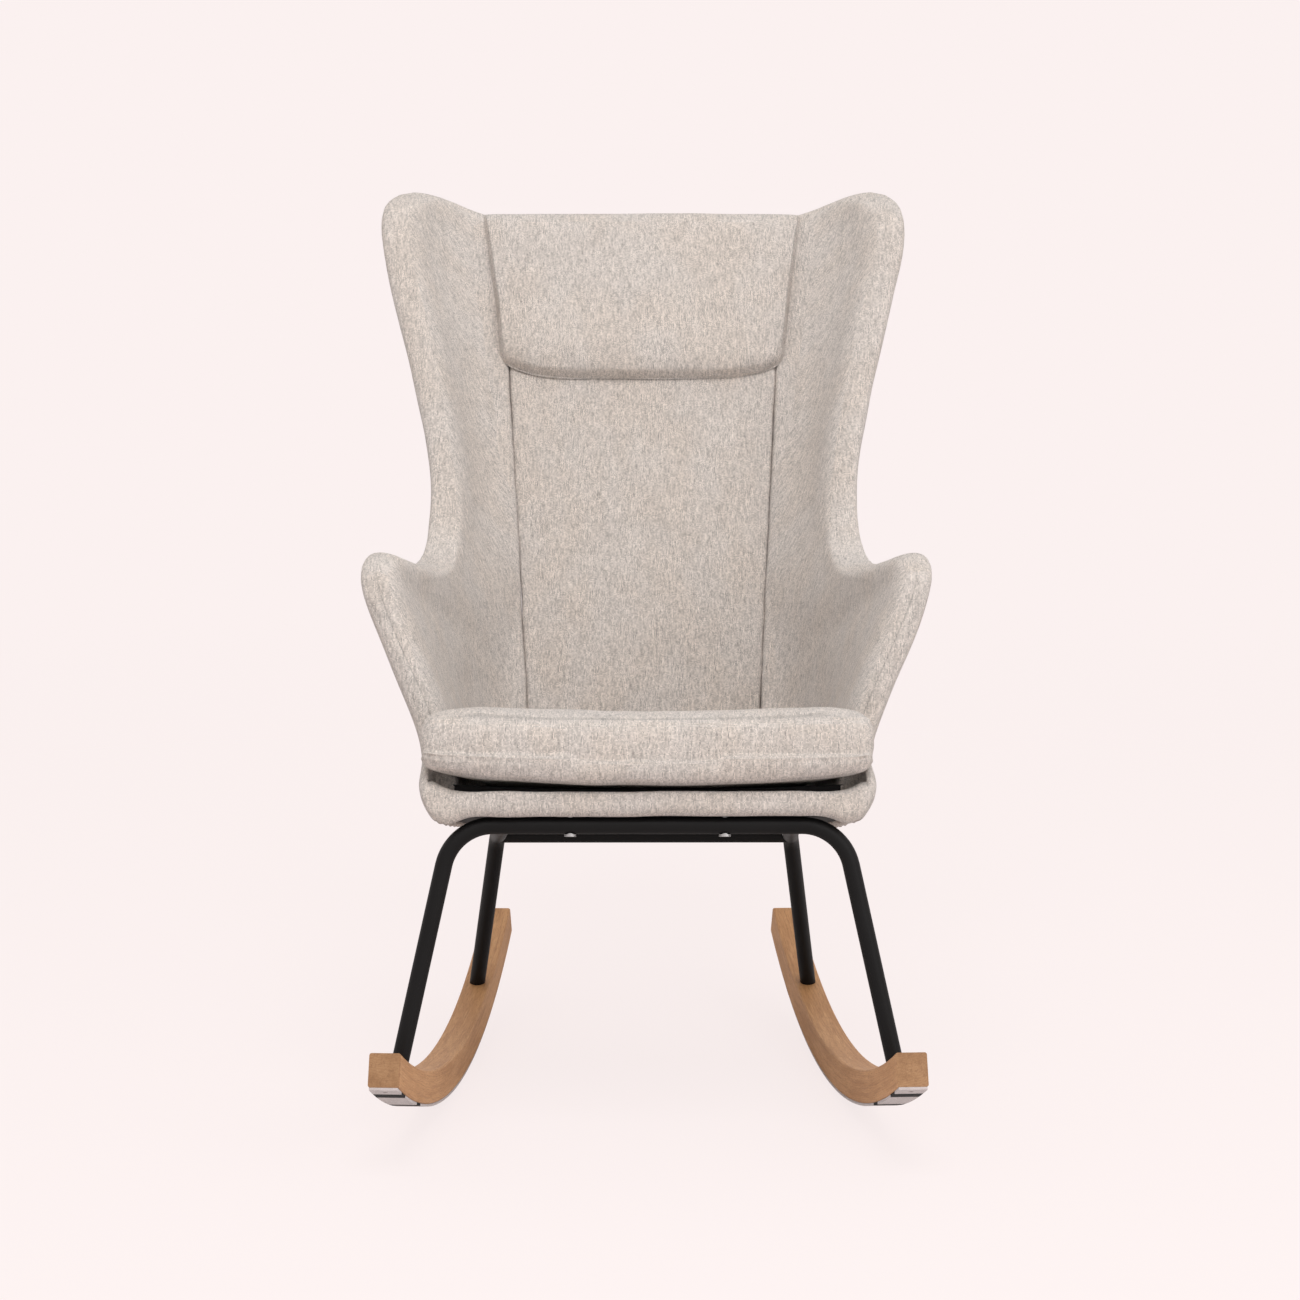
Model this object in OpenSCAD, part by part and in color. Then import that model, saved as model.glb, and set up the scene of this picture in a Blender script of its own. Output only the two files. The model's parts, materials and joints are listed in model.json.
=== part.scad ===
// Wing-back rocking chair: an upholstered shell with a loose seat cushion, on a bent steel frame
// and two oak runners.
//
// Lengths are in millimetres. The chair faces -Y and +Z is up. The origin lies on the floor, under
// the middle of the chair's outline.
//
// Everything is drawn in the level frame: X across, Y back from the plane of the front legs, and
// Z up from the floor. The seat frame slopes back in it by seat_slope. at_rest() then rolls the
// chair on its runners by rest_lean, to the angle at which it balances by itself.

/* [Runners] */
// Radius of the rolling surface under the runners
rocker_radius = 1089; // [950:1:1300]
// Depth of the oak, along the radius
runner_depth = 37; // [30:1:46]
// Width of the oak
runner_width = 34; // [28:1:42]
// Width of the rounding along the edges of the oak
runner_easing = 2.5; // [1:0.5:4]
// Distance of the drawn lowest point behind the front legs
contact_setback = 232; // [210:1:260]
// Arc of the runner in front of the drawn lowest point, in degrees
front_arc = 17.9; // [16:0.1:19]
// Arc of the runner behind the drawn lowest point, in degrees
rear_arc = 29.4; // [26:0.1:31]
// Angle by which a runner points outwards to the front
toe_out = 6.4; // [4:0.1:8]
// Angle by which the empty chair rolls back until it balances
rest_lean = 7.5; // [0:0.5:9]

/* [Strips under the runners] */
// Thickness of the felt and of the rubber bars
felt_thickness = 3; // [2:0.5:5]
// Bare margin of oak on each side of the felt
felt_margin = 1.5; // [1:0.5:4]
// Length of a rubber bar along the runner
grip_length = 24; // [16:1:32]
// Distance from the end of a runner to the middle of the first rubber bar
first_grip = 37; // [30:1:50]
// Distance from the first to the second rubber bar
grip_pitch = 102; // [80:1:120]
// Diameter of the tack that holds the end of the felt
tack_diameter = 5; // [3:0.5:8]

/* [Steel frame] */
// Outer diameter of the tubes
tube_diameter = 19; // [17:0.5:22]
// Wall of the tubes
tube_wall = 2; // [1.5:0.25:2.5]
// Height of the front bar's axis above the floor
front_bar_height = 327; // [315:1:345]
// Half the distance between the front legs' axes, measured at the front bar
front_leg_half = 212; // [200:1:224]
// Half the distance between the front legs' axes, measured on the runners
front_foot_half = 269.6; // [260:0.1:276]
// Radius of the two front bends
front_bend = 55; // [40:1:65]
// Slope of the seat frame down to the rear
seat_slope = 5.2; // [3:0.1:7]
// Half the distance between the side rails' axes, at the front bar
rail_front_half = 157; // [148:1:158]
// Half the distance between the side rails' axes, at their rear corners
rail_rear_half = 175; // [168:1:184]
// Distance of the corner of rail and rear leg in front of the back's inner cover face
rail_short_of_back = 50; // [40:1:60]
// Radius of the bend between rail and rear leg
rear_bend = 45; // [35:1:60]
// Distance of the rear cross bar in front of that corner
cross_bar_inset = 34; // [30:1:60]
// Distance of the rear feet behind the front legs
rear_foot_setback = 573; // [550:1:595]

/* [Fasteners] */
// Diameter of the bolts' shanks
bolt_diameter = 8; // [6:0.5:9]
// Diameter of the bolts' heads
bolt_head = 13; // [11:0.5:15]
// Height of the bolts' heads
bolt_head_height = 2.5; // [2:0.5:4]
// Half the distance between the two front seat bolts
front_bolt_half = 84; // [60:1:120]
// Size of a rear mounting tab
tab_size = 32; // [26:1:40]
// Thickness of a rear mounting tab
tab_thickness = 3; // [2:0.5:5]
// Diameter of a tee nut's flange
tee_nut_flange = 19; // [17:0.5:24]
// Depth of the tee nut's barrel in the board
tee_nut_depth = 10; // [7:0.5:12]
// Length of the plug in a leg's end
plug_length = 26; // [20:1:34]

/* [Seat base] */
// Thickness of the plywood board
board_thickness = 18; // [15:1:20]
// Thickness of the dust cover
dust_cover_thickness = 0.8; // [0.5:0.1:1.5]
// Height of the front border above the board's underside, in the middle
lip_height = 23; // [20:1:26]
// Rise of the front border's ends above its middle
lip_rise = 16; // [10:1:18]
// Width of each raised end of the front border
lip_end_width = 42; // [30:1:60]
// Depth of the front border, front to back
border_depth = 44; // [34:1:50]
// Distance of the front border's face in front of the front legs
border_overhang = 25; // [18:1:32]

/* [Seat cushion] */
// Thickness of the cushion at its edge
cushion_thickness = 73; // [60:1:85]
// Rise of the cushion's middle above its edges
cushion_crown = 7; // [0:1:14]
// Sag of the cushion's front edge between its ends
cushion_sag = 8; // [0:1:10]
// Half the width of the cushion's nose
nose_half = 246; // [240:1:252]
// Distance of the nose's front edge in front of the front legs
nose_overhang = 56; // [46:1:66]
// Depth of the nose's ends, from front to back
nose_depth = 74; // [66:1:82]
// Height of the cushion's underside above the board's underside
cushion_level = 32; // [28:1:40]

/* [Shell] */
// Thickness of the padded inner panels
pad_thickness = 30; // [22:1:36]
// Extra thickness in the middle of the back
lumbar_crown = 6; // [0:1:14]
// Thickness of the outer cover
cover_thickness = 11; // [8:1:16]
// Recline of the back, from upright, before the chair rolls to rest
recline = 19.5; // [16:0.5:23]
// Depth of the shell at the seat: from the front legs to the back's inner cover face
seat_depth = 450; // [430:1:470]
// Depth by which the middle of the back lies behind its seams
back_dish = 8; // [0:1:16]
// Half the distance between the back's seams at the seat
seam_half = 140; // [125:1:150]
// Widening of the seams per millimetre of height
seam_flare = 0.062; // [0.04:0.002:0.08]
// Extra widening of the seams at the top of the back
seam_crown = 14; // [0:1:20]

/* [Headrest] */
// Thickness of the headrest pillow at its fullest
headrest_thickness = 26; // [16:1:36]
// Height of the pillow, from its lower edge to the top of the back
headrest_height = 222; // [180:1:260]
// Rise of the pillow's lower corners above the middle of its lower edge
headrest_corner = 26; // [10:1:50]

/* [Hidden] */
$fn = 64;

RIGHT = 1;
LEFT = -1;
// Clearance between faces that meet and don't slide
fit_gap = 0.15;
// Clearance between soft pieces that part, and round what passes through a hole
soft_gap = 0.4;
tube_radius = tube_diameter / 2;

// ---------------------------------------------------------------- vectors and places

function unit(v) = v / norm(v);
function mix(a, b, f) = a * (1 - f) + b * f;
function clamp(f, low, high) = min(max(f, low), high);

// The columns ex, ey, ez and the origin p as a matrix
function placing(p, ex, ey, ez) = [
    [ex.x, ey.x, ez.x, p.x], [ex.y, ey.y, ez.y, p.y], [ex.z, ey.z, ez.z, p.z], [0, 0, 0, 1]
];

// The children's +Z runs from p along dir
module along(p, dir) {
    ez = unit(dir);
    ex = unit(cross(abs(ez.x) < 0.9 ? [1, 0, 0] : [0, 1, 0], ez));
    multmatrix(placing(p, ex, cross(ez, ex), ez)) children();
}

// A solid rod from p to q
module rod(p, q, diameter) {
    along(p, q - p) cylinder(h = norm(q - p), d = diameter);
}

// A straight stretch of tube from p to q
// The turn between two unit directions, as an angle, and the length that its bend takes up
function turn(dir_in, dir_out) = acos(dir_in * dir_out);
function setback(dir_in, dir_out, radius) = radius * tan(turn(dir_in, dir_out) / 2);

// A rod with one bend, whose bend starts at the origin. It comes in along X, from a length before the
// bend, turns from X towards -Z and goes on for a length after it. The bend is drawn thinner by a
// hair, as tube is after bending, so that the straight lengths run into it.
bend_thinning = 0.05;
bend_lap = 0.5;
module bent_rod(before, bend, angle, after, radius) {
    translate([-before, 0, 0]) rotate([0, 90, 0]) cylinder(h = before + bend_lap, r = radius);
    translate([0, 0, -bend]) {
        multmatrix([[0, 1, 0, 0], [0, 0, 1, 0], [1, 0, 0, 0], [0, 0, 0, 1]])
            rotate_extrude(angle = angle) translate([bend, 0]) circle(r = radius - bend_thinning);
        rotate([0, angle, 0]) translate([-bend_lap, 0, bend]) rotate([0, 90, 0])
            cylinder(h = after + bend_lap, r = radius);
    }
}

// ---------------------------------------------------------------- runner geometry

felt_radius = rocker_radius - felt_thickness;
runner_top_radius = felt_radius - runner_depth;
felt_width = runner_width - 2 * felt_margin;
arc_centre = [0, contact_setback, rocker_radius];
contact_half = front_foot_half - contact_setback * tan(toe_out);

// The runner's middle line at a distance y behind the front legs, on the top of the oak
function runner_x(y) = front_foot_half - y * tan(toe_out);
function on_runner(y) = let (along_arc = (y - contact_setback) / cos(toe_out))
    [runner_x(y), y, rocker_radius - sqrt(pow(runner_top_radius, 2) - pow(along_arc, 2))];

// Turns a profile in (radius, width) into an arc of the right runner, between two angles that are
// counted from the lowest point, positive to the rear
module runner_arc(from, to) {
    translate([contact_half, contact_setback, rocker_radius])
        rotate([0, 0, toe_out]) rotate([0, 90, 0]) rotate([0, 0, from])
            rotate_extrude(angle = to - from, $fn = 360) children();
}

// Keeps what lies above the top face of the right runner
module above_runner() {
    intersection() {
        children();
        translate([contact_half, contact_setback, rocker_radius])
            rotate([0, 0, toe_out]) rotate([0, 90, 0])
                cylinder(h = 400, r = runner_top_radius - fit_gap, center = true, $fn = 360);
    }
}

// What lies below the top face of the right runner, for cutting the legs to it
module below_runner() {
    translate([contact_half, contact_setback, rocker_radius])
        rotate([0, 0, toe_out]) rotate([0, 90, 0]) difference() {
            cylinder(h = 400, r = runner_top_radius + 100, center = true, $fn = 360);
            cylinder(h = 420, r = runner_top_radius - fit_gap, center = true, $fn = 360);
        }
}

// Left is the mirror image of right
module on_side(side) {
    scale_x = side == LEFT ? 1 : 0;
    mirror([scale_x, 0, 0]) children();
}

// ---------------------------------------------------------------- seat frame

// The seat frame's own axes: X across, Y along the rails and Z at a right angle to them, from the
// middle of the front bar
module seat_frame() {
    translate([0, 0, front_bar_height]) rotate([-seat_slope, 0, 0]) children();
}
function from_seat(p) = [
    p.x,
    p.y * cos(seat_slope) + p.z * sin(seat_slope),
    front_bar_height - p.y * sin(seat_slope) + p.z * cos(seat_slope)
];
function to_seat(p) = let (z = p.z - front_bar_height) [
    p.x,
    p.y * cos(seat_slope) - z * sin(seat_slope),
    p.y * sin(seat_slope) + z * cos(seat_slope)
];

board_bottom = tube_radius + dust_cover_thickness + 2 * fit_gap;
board_top = board_bottom + board_thickness;
cushion_bottom = board_bottom + cushion_level;
rail_length = seat_depth - rail_short_of_back;
cross_bar_at = rail_length - cross_bar_inset;
function rail_x(y) = mix(rail_front_half, rail_rear_half, y / rail_length);

leg_foot = on_runner(0);
leg_corner = [front_leg_half, 0, front_bar_height];
leg_down = unit(leg_foot - leg_corner);
rail_start = from_seat([rail_x(2), 2, 0]);
rear_corner = from_seat([rail_rear_half, rail_length, 0]);
rear_foot = on_runner(rear_foot_setback);
rear_down = unit(rear_foot - rear_corner);
rail_back = unit(rear_corner - rail_start);
// How far a leg is drawn on below the runner's top, before it is cut to it
leg_excess = 30;

front_setback = setback([1, 0, 0], leg_down, front_bend);
// The bar and the bends and legs at its ends, filled out to a radius
front_turn = round(10 * turn([1, 0, 0], leg_down)) / 10;
bar_half = round(10 * (front_leg_half - front_setback)) / 10;
module front_leg_rod(radius)
    translate([0, 0, front_bar_height]) for (side = [LEFT, RIGHT]) on_side(side)
        translate([bar_half, 0, 0]) bent_rod(bar_half, front_bend, front_turn,
            norm(leg_foot - leg_corner) - front_setback + leg_excess, radius);

module front_leg_frame() at_rest() color("#1c1c1e") difference() {
    front_leg_rod(tube_radius);
    front_leg_rod(tube_radius - tube_wall);
    for (side = [LEFT, RIGHT]) on_side(side) below_runner();
    seat_frame() for (side = [LEFT, RIGHT])
        translate([side * front_bolt_half, 0, 0])
            cylinder(h = 4 * tube_radius, d = bolt_diameter + 1, center = true);
}

// A rear leg with its rail, filled out to a radius
rear_turn = round(10 * turn(rail_back, rear_down)) / 10;
rear_setback = setback(rail_back, rear_down, rear_bend);
module rear_leg_rod(radius, extra = 0) {
    side = unit(rear_down - rail_back * (rail_back * rear_down));
    multmatrix(placing(rear_corner - rail_back * rear_setback, rail_back, cross(rail_back, side), -side))
        bent_rod(norm(rear_corner - rail_start) - rear_setback + extra, rear_bend, rear_turn,
            norm(rear_foot - rear_corner) - rear_setback + leg_excess, radius);
}

module rear_leg(side) at_rest() on_side(side) color("#1c1c1e") difference() {
    rear_leg_rod(tube_radius);
    rear_leg_rod(tube_radius - tube_wall, extra = 1);
    below_runner();
    // the saddle that lies against the front bar
    rod([0, 0, front_bar_height], leg_corner, tube_diameter + 2 * fit_gap);
}

module rear_cross_bar() at_rest() color("#1c1c1e") seat_frame() difference() {
    half = rail_x(cross_bar_at) - 2;
    rod([-half, cross_bar_at, 0], [half, cross_bar_at, 0], tube_diameter);
    rod([-half - 1, cross_bar_at, 0], [half + 1, cross_bar_at, 0], tube_diameter - 2 * tube_wall);
    for (side = [LEFT, RIGHT])
        rod([side * rail_front_half, 0, 0], [side * rail_rear_half, rail_length, 0],
            tube_diameter + 2 * fit_gap);
}

tab_middle = [
    rail_x(cross_bar_at - tube_radius - tab_size) - tube_radius - 2 * fit_gap - tab_size / 2,
    cross_bar_at - tube_radius - fit_gap - tab_size / 2,
    tube_radius - tab_thickness
];

module rear_mount_tabs() at_rest() color("#1c1c1e") seat_frame()
    for (side = [LEFT, RIGHT]) on_side(side) difference() {
        translate(tab_middle) translate([-tab_size / 2, -tab_size / 2, 0])
            cube([tab_size, tab_size, tab_thickness]);
        translate(tab_middle - [0, 0, 1]) cylinder(h = tab_thickness + 2, d = bolt_diameter + 1);
    }

// A plug in each leg's end, tapped for the runner bolt
plug_bore = bolt_diameter - 1.2;
module leg_plug(foot, down) {
    above_runner() difference() {
        rod(foot - down * plug_length, foot + down * leg_excess, tube_diameter
            - 2 * (tube_wall + fit_gap));
        rod(foot - down * (plug_length + 1), foot + down * (leg_excess + 1), plug_bore);
    }
}
module leg_end_plugs() at_rest() color("#6f7275")
    for (side = [LEFT, RIGHT]) on_side(side) {
        leg_plug(leg_foot, leg_down);
        leg_plug(rear_foot, rear_down);
    }

// ---------------------------------------------------------------- runners

// Points of a rectangle's rounded corner
function corner_arc(c, r, from) = [
    for (a = [0:30:90]) c + r * [cos(from + a), sin(from + a)]
];
function rounded_box(low, high, r) = concat(
    corner_arc([high.x - r, high.y - r], r, 0), corner_arc([low.x + r, high.y - r], r, 90),
    corner_arc([low.x + r, low.y + r], r, 180), corner_arc([high.x - r, low.y + r], r, 270)
);

// The bolts' heads lie in counterbores, this far along the leg's axis below the top of the oak
head_depth = runner_depth - 13;

module bolt_bore(foot, down) {
    rod(foot - down * 30, foot + down * 80, bolt_diameter + 1);
    rod(foot + down * head_depth, foot + down * 80, bolt_head + 1.5);
}

module runner(side) at_rest() on_side(side) color("#bd8f68") difference() {
    runner_arc(-front_arc, rear_arc)
        polygon(rounded_box([runner_top_radius, -runner_width / 2],
            [felt_radius, runner_width / 2], runner_easing));
    bolt_bore(leg_foot, leg_down);
    bolt_bore(rear_foot, rear_down);
}

module runner_bolt(foot, down) {
    rod(foot - down * (plug_length - 6), foot + down * (head_depth + 0.5),
        plug_bore - 2 * fit_gap);
    rod(foot + down * head_depth, foot + down * (head_depth + bolt_head_height), bolt_head);
}
module runner_bolts() at_rest() color("#b9bcc0")
    for (side = [LEFT, RIGHT]) on_side(side) {
        runner_bolt(leg_foot, leg_down);
        runner_bolt(rear_foot, rear_down);
    }

// Lengths along the felt as angles
function felt_angle(length) = length / felt_radius * 180 / PI;
half_grip = felt_angle(grip_length / 2);
grips = [
    -front_arc + felt_angle(first_grip), -front_arc + felt_angle(first_grip + grip_pitch),
    rear_arc - felt_angle(first_grip + grip_pitch), rear_arc - felt_angle(first_grip)
];
// The felt's stretches run from grip to grip
felt_starts = concat([-front_arc], [for (g = grips) g + half_grip + felt_angle(fit_gap)]);
felt_ends = concat([for (g = grips) g - half_grip - felt_angle(fit_gap)], [rear_arc]);
tacks = [-front_arc + felt_angle(first_grip / 3), rear_arc - felt_angle(first_grip / 3)];

module strip_profile() {
    translate([felt_radius + fit_gap, -felt_width / 2])
        square([felt_thickness - fit_gap, felt_width]);
}

// A tack's axis is a radius of the arc
module at_tack(angle) {
    translate([contact_half, contact_setback, rocker_radius])
        rotate([0, 0, toe_out]) rotate([angle, 0, 0]) children();
}

module runner_felt(side) at_rest() on_side(side) color("#b7b0a8") difference() {
    for (i = [0:len(grips)]) runner_arc(felt_starts[i], felt_ends[i]) strip_profile();
    for (a = tacks) at_tack(a) translate([0, 0, -rocker_radius - 1])
        cylinder(h = felt_thickness + 2, d = tack_diameter + 2 * fit_gap);
}

module grip_bars(side) at_rest() on_side(side) color("#161616")
    for (g = grips) runner_arc(g - half_grip, g + half_grip) strip_profile();

module felt_tacks() at_rest() color("#8d8f92")
    for (side = [LEFT, RIGHT]) on_side(side)
        for (a = tacks) at_tack(a) translate([0, 0, -rocker_radius + 1])
            cylinder(h = felt_thickness - 1 - fit_gap, d = tack_diameter);

// ---------------------------------------------------------------- shell surface

// The shell is one surface, the seam surface, between the padded inner panels and the outer
// cover. Cross lines run over it from the seam of the back panel to the rim. Each station gives
// the rim's point on the right-hand side and the height at which its cross line leaves the back,
// both above the front bar's axis.
// The last three values place the line's last control point: back and in from the rim, as shares
// of the depth of the wall there, and down, as a share of the whole drop.
stations = [
    // under the seat base, and round the corner below the cushion's nose
    [[223, -12, 11], -25, [0.65, 0, 0.65]],
    [[233.5, -19, 27], -8, [0.65, 0, 0.65]],
    [[238, -19, 44], 14, [0.65, 0, 0.65]],
    [[237, 0, 59], 33, [0.65, 0, 0.65]],
    [[236, 26, 70], 51, [0.65, 0, 0.65]],
    // up the front of the arm to its tip
    [[243, 44, 105], 75, [0.65, 0, 0.65]],
    [[268, 51, 163], 110, [0.65, 0.05, 0.65]],
    [[295, 55, 223], 147, [0.6, 0.12, 0.7]],
    [[311, 68, 273], 179, [0.45, 0.12, 0.85]],
    // back along the top of the arm
    [[304, 106, 299], 199, [0.28, 0.07, 1]],
    [[289, 162, 294], 218, [0.2, 0.04, 1]],
    [[270, 238, 286], 241, [0.15, 0.02, 1]],
    [[254, 312, 291], 273, [0.2, 0, 1]],
    // round the waist
    [[246, 370, 331], 328, [0.4, 0, 0.8]],
    [[246, 403, 395], 399, [0.6, 0, 0.65]],
    // up the wing and round its ear
    [[259, 428, 461], 463, [0.65, 0.04, 0.65]],
    [[274, 449, 528], 526, [0.65, 0.08, 0.6]],
    [[292, 468, 593], 585, [0.65, 0.13, 0.5]],
    [[309, 486, 658], 635, [0.65, 0.17, 0.4]],
    [[315, 504, 708], 677, [0.65, 0.19, 0.3]],
    [[309, 536, 738], 705, [0.64, 0.25, 0.2]],
    [[286, 580, 752], 728, [0.58, 0.34, 0]]
];
last = len(stations) - 1;
shell_top = front_bar_height + stations[last][1];
shell_bottom = front_bar_height + stations[0][1];

// Catmull-Rom interpolation over a list of points or numbers
function spline(list, t) =
    let (i = clamp(floor(t), 0, len(list) - 2), f = t - i)
    let (b = list[i], c = list[i + 1])
    let (a = i > 0 ? list[i - 1] : 2 * b - c)
    let (d = i < len(list) - 2 ? list[i + 2] : 2 * c - b)
    b + f / 2 * (c - a + f * (2 * a - 5 * b + 4 * c - d + f * (3 * (b - c) + d - a)));

rim = [for (s = stations) s[0] + [0, 0, front_bar_height]];
levels = [for (s = stations) s[1] + front_bar_height];
handles = [for (s = stations) s[2]];

// The back in profile: a reclined line, tucked in at the bottom
tuck_height = 20;
tuck_depth = 12;
function back_y(z) = seat_depth + (z - front_bar_height - 76) * tan(recline)
    - tuck_depth * pow(max(shell_bottom + tuck_height - z, 0) / tuck_height, 2);
function seam_x(z) = seam_half + seam_flare * (z - front_bar_height - 103)
    + seam_crown * pow(max(z - shell_top + headrest_height, 0) / headrest_height, 2);
// A point of the back, at u from -1 to 1 between its seams
function back_point(u, z) = [u * seam_x(z), back_y(z) - back_dish * u * u, z];

// A point of the wall, from the seam at s = 0 to the rim at s = 1, as a cubic curve
function wall_point(t, s) =
    let (edge = spline(rim, t), seam = back_point(1, spline(levels, t)), h = spline(handles, t))
    let (gap = seam.y - edge.y)
    let (b = seam + gap * [0.2, -0.02, 0])
    let (c = edge + [-h.y * gap, h.x * gap, -h.z * (edge.z - seam.z)])
    pow(1 - s, 3) * seam + 3 * s * pow(1 - s, 2) * b + 3 * s * s * (1 - s) * c + pow(s, 3) * edge;

// The normals of the wall and of the back, towards the sitter. They are the same at the seam.
function wall_normal(t, s) =
    let (dt = 0.02, ds = 0.01, t0 = max(t - dt, 0), s0 = max(s - ds, 0))
    let (up = wall_point(min(t0 + 2 * dt, last), s) - wall_point(t0, s))
    let (out = wall_point(t, min(s0 + 2 * ds, 1)) - wall_point(t, s0))
    unit(mix(back_normal, unit(cross(out, up)), clamp(s / 0.2, 0, 1)));
back_normal = [0, -cos(recline), sin(recline)];

// ---------------------------------------------------------------- the roll to rest

// A circle in a plane that stands skew reaches a little less far down than an upright one, and
// the felt's inner edge a little further
roll_rise = rocker_radius * (1 - sqrt(1 - pow(sin(toe_out) * sin(rest_lean), 2)))
    - felt_width / 2 * sin(toe_out) * sin(rest_lean);
// Angles of the runner's end and of the back's top edge, seen from the arc's centre
front_reach = -felt_radius * sin(front_arc + rest_lean) * cos(toe_out)
    - runner_width / 2 * sin(toe_out);
back_top = back_point(0, shell_top) + [0, cover_thickness * cos(recline), 0] - arc_centre;
rear_reach = back_top.y * cos(rest_lean) + back_top.z * sin(rest_lean);
middle = contact_setback + (front_reach + rear_reach) / 2;

module at_rest() {
    translate([0, -middle, -roll_rise])
        translate(arc_centre) rotate([-rest_lean, 0, 0]) translate(-arc_centre) children();
}

// ---------------------------------------------------------------- shell panels

// Rows run up the shell, closer together where its top edge is rounded
edge_steps = [26, 12, 5, 1.2, 0];
top_row_length = (levels[last] - levels[last - 1]) / cos(recline);
function rows_from(t) = concat(
    [for (r = [t:0.5:last - 1.4]) r], [for (d = edge_steps) last - d / top_row_length]);

// Columns run from the seam to the rim, closer together near the rim
wall_columns = 8;
function wall_length(t) = norm(wall_point(t, 1) - wall_point(t, 0.75))
    + norm(wall_point(t, 0.75) - wall_point(t, 0.5)) + norm(wall_point(t, 0.5) - wall_point(t, 0));
function column_share(t, j) = let (length = wall_length(t))
    j < wall_columns ? j / wall_columns * (1 - edge_steps[0] / length)
        : 1 - edge_steps[j - wall_columns] / length;
all_columns = wall_columns + len(edge_steps) - 1;

// The share of its full thickness that a padding has at a distance from its rounded edge
least_share = 0.03;
function roundness(distance, radius) = let (f = clamp(1 - distance / radius, 0, 1))
    least_share + (1 - least_share) * sqrt(1 - f * f);

function to_top_edge(t, s) = (last - t) * norm(wall_point(last, s) - wall_point(last - 1, s));
function edge_share(t, s, radius) =
    roundness((1 - s) * wall_length(t), radius) * roundness(to_top_edge(t, s), radius);

// One layer of the wall, from the offset near to the offset far
function wall_layer(rows, thickness, radius, near) = [
    for (t = rows) [
        for (j = [0:all_columns])
            let (s = column_share(t, j))
            wall_point(t, s) + wall_normal(t, s) * (near + thickness * edge_share(t, s, radius))
    ]
];

back_columns = 6;
function back_layer(rows, thickness, crown, radius, near) = [
    for (t = rows) let (z = spline(levels, t)) [
        for (j = [0:back_columns])
            let (u = 2 * j / back_columns - 1)
            let (inset = 1 - fit_gap / seam_half)
            back_point(u * inset, z) + back_normal * (near
                + (thickness + crown * (1 - u * u))
                * roundness((last - t) * top_row_length, radius))
    ]
];

// Joins two grids of points with equal rows and columns into a closed slab. The front grid is
// seen with its rows upwards and its columns to the right.
module slab(front, back) {
    nr = len(front);
    nc = len(front[0]);
    half = nr * nc;
    function at(i, j, side) = side * half + i * nc + j;
    function quad(a, b, c, d) = [[a, c, b], [a, d, c]];
    // the outline, once round
    loop = concat(
        [for (j = [0:1:nc - 2]) [0, j]], [for (i = [0:1:nr - 2]) [i, nc - 1]],
        [for (j = [nc - 1:-1:1]) [nr - 1, j]], [for (i = [nr - 1:-1:1]) [i, 0]]);
    sheets = [
        for (i = [0:nr - 2]) for (j = [0:nc - 2]) each concat(
            quad(at(i, j, 0), at(i, j + 1, 0), at(i + 1, j + 1, 0), at(i + 1, j, 0)),
            quad(at(i, j, 1), at(i + 1, j, 1), at(i + 1, j + 1, 1), at(i, j + 1, 1)))
    ];
    walls = [
        for (k = [0:len(loop) - 1])
            let (p = loop[k], q = loop[(k + 1) % len(loop)])
            each quad(at(q.x, q.y, 0), at(p.x, p.y, 0), at(p.x, p.y, 1), at(q.x, q.y, 1))
    ];
    polyhedron(points = concat([for (r = front) each r], [for (r = back) each r]),
        faces = concat(sheets, walls), convexity = 8);
}

cover_color = "#cfc4b8";
pad_color = "#c9beb2";
cover_radius = cover_thickness + 1;
pad_radius = edge_steps[0];

// What the inner panels leave free for the seat base, and below the ends of the cushion's nose
module base_space() {
    seat_frame() {
        translate([-400, -200, -200]) cube([800, 900, 200 + board_top + fit_gap]);
        translate([-400, -200, 0])
            cube([800, 200 + border_back + soft_gap, border_end + nose_room]);
    }
}
// What the outer cover leaves free for the rails of the steel frame
module frame_space() {
    half = rail_rear_half + tube_radius + 2;
    seat_frame() translate([-half, -200, -200]) cube([2 * half, 900, 200 + tube_radius + fit_gap]);
}

module outer_side(side) at_rest() on_side(side) color(cover_color) difference() {
    rows = rows_from(0);
    slab(wall_layer(rows, 0, cover_radius, -fit_gap),
        wall_layer(rows, -cover_thickness, cover_radius, -fit_gap));
    frame_space();
}

module outer_back() at_rest() color(cover_color) difference() {
    rows = rows_from(0);
    slab(back_layer(rows, 0, 0, cover_radius, -fit_gap),
        back_layer(rows, -cover_thickness, 0, cover_radius, -fit_gap));
    frame_space();
}

module inner_side(side) at_rest() on_side(side) color(pad_color) difference() {
    rows = rows_from(0.5);
    slab(wall_layer(rows, pad_thickness, pad_radius, fit_gap),
        wall_layer(rows, 0, pad_radius, fit_gap));
    base_space();
}

module inner_back() at_rest() color(pad_color) difference() {
    rows = rows_from(0.5);
    slab(back_layer(rows, pad_thickness, lumbar_crown, pad_radius, fit_gap),
        back_layer(rows, 0, 0, pad_radius, fit_gap));
    base_space();
}

// ---------------------------------------------------------------- headrest

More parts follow.
